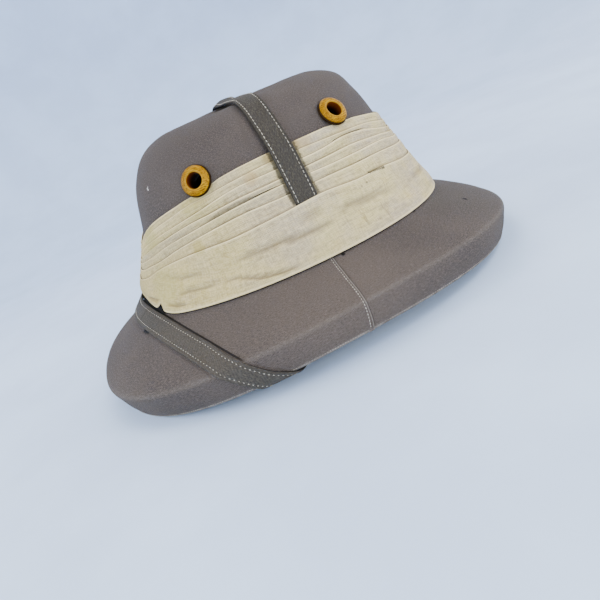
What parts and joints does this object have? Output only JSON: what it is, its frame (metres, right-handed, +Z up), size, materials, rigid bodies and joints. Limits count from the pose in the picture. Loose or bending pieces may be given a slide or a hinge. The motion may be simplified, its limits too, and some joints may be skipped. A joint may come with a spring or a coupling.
{
  "type": "pith helmet",
  "caption": "Wide-brimmed pith sun helmet with a pleated cloth band, crown strap, chin strap stowed over the back of the brim and turned wooden ventilators.",
  "frame": {"origin": "under the rim, in the middle of the hat's length and width, on the surface it rests on", "axes": "+X to the front of the hat, along its longest extent; +Y to the wearer's left; +Z up, along its shortest extent"},
  "size_m": [0.3446, 0.2864, 0.1673],
  "materials": {
    "pith_shell": "matt grey-brown cotton drill over pith",
    "puggaree": "cream muslin, pleated",
    "crown_strap": "folded cotton drill, stitched",
    "chin_strap": "folded cotton drill, stitched",
    "ventilator_front_left": "turned and varnished",
    "ventilator_front_right": "turned and varnished",
    "ventilator_back_left": "turned and varnished",
    "ventilator_back_right": "turned and varnished"
  },
  "bodies": {
    "root": {"pith_shell": "pith_shell", "puggaree": "puggaree", "crown_strap": "crown_strap", "chin_strap": "chin_strap", "ventilator_front_left": "ventilator_front_left", "ventilator_front_right": "ventilator_front_right", "ventilator_back_left": "ventilator_back_left", "ventilator_back_right": "ventilator_back_right"}
  },
  "joints": []
}
